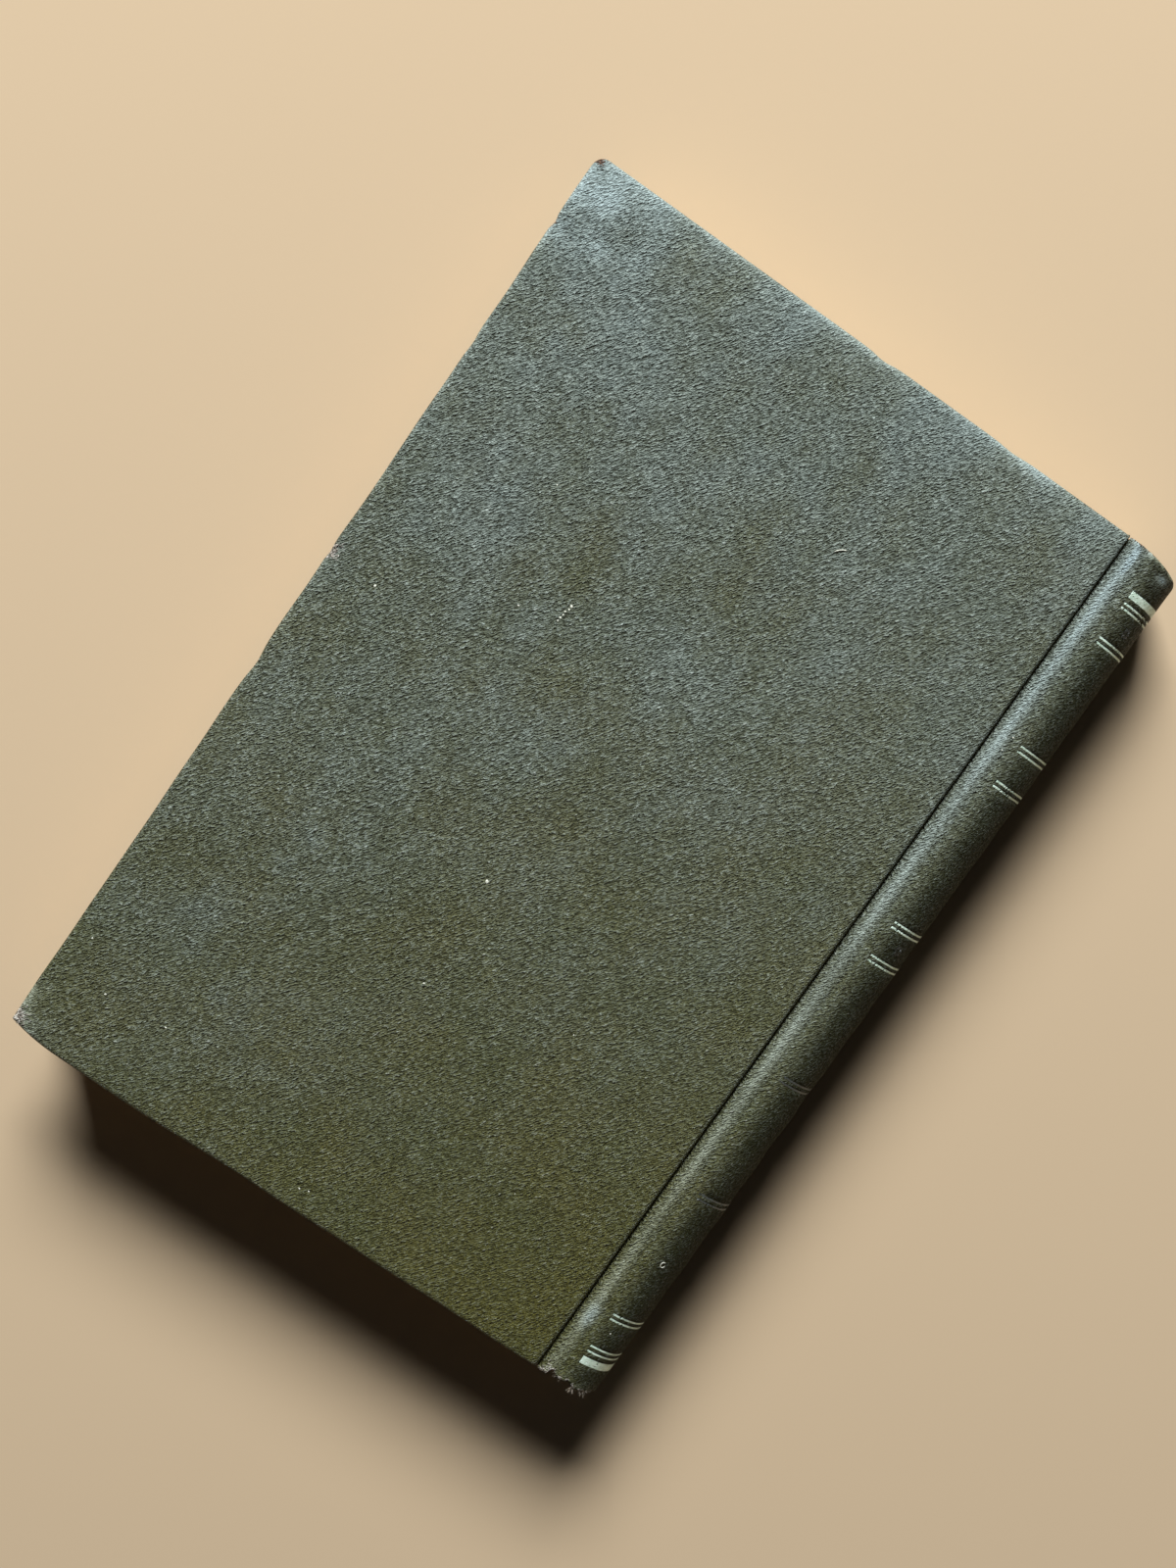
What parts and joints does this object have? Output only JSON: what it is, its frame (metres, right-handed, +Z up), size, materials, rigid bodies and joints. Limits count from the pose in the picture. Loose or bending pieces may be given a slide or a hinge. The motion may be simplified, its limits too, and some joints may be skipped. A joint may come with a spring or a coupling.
{
  "type": "hardback book",
  "caption": "Closed leather-covered hardback book with a rounded hollow spine, foil-tooled bands and fillets, worn corners and two covers that open about their joints.",
  "frame": {"origin": "middle of the closed book's base, on the surface that it lies on", "axes": "+X from the fore-edge towards the spine, +Y from the tail to the head, +Z up through the back cover"},
  "size_m": [0.1528, 0.22, 0.025],
  "materials": {
    "olive_leather": "fine-grained, semi-matt, rubbed at the edges",
    "page_paper": "aged, matt",
    "end_paper": "aged, matt",
    "lining_paper": "matt",
    "card": "matt",
    "board": "matt",
    "tape_linen": "woven",
    "mull_cloth": "open weave",
    "band_silk": "worked thread",
    "silver_foil": "pale stamped foil, satin, worn",
    "faded_foil": "tarnished stamped foil, matt"
  },
  "bodies": {
    "text_block": {"text_block": "page_paper", "front_flyleaf": "end_paper", "back_flyleaf": "end_paper", "sewing_tapes": "tape_linen", "mull": "mull_cloth", "spine_lining": "lining_paper", "head_band": "band_silk", "tail_band": "band_silk", "spine_stiffener": "card", "spine_leather": "olive_leather", "tail_end_band": "silver_foil", "head_end_band": "silver_foil", "tail_end_fillets": "silver_foil", "head_end_fillets": "silver_foil", "panel_fillets": "silver_foil", "faded_fillets": "faded_foil", "panel_ornaments": "faded_foil"},
    "back_cover": {"back_board": "board", "back_cover_leather": "olive_leather", "back_pastedown": "end_paper"},
    "front_cover": {"front_board": "board", "front_cover_leather": "olive_leather", "front_pastedown": "end_paper"}
  },
  "joints": [
    {"name": "back_cover_hinge", "type": "hinge", "parent": "text_block", "child": "back_cover", "pos_m": [0.0598, 0, 0.025], "axis": [0, 1, 0], "range_deg": [0, 180]},
    {"name": "front_cover_hinge", "type": "hinge", "parent": "text_block", "child": "front_cover", "pos_m": [0.0598, 0, 0], "axis": [0, -1, 0], "range_deg": [0, 180]}
  ]
}
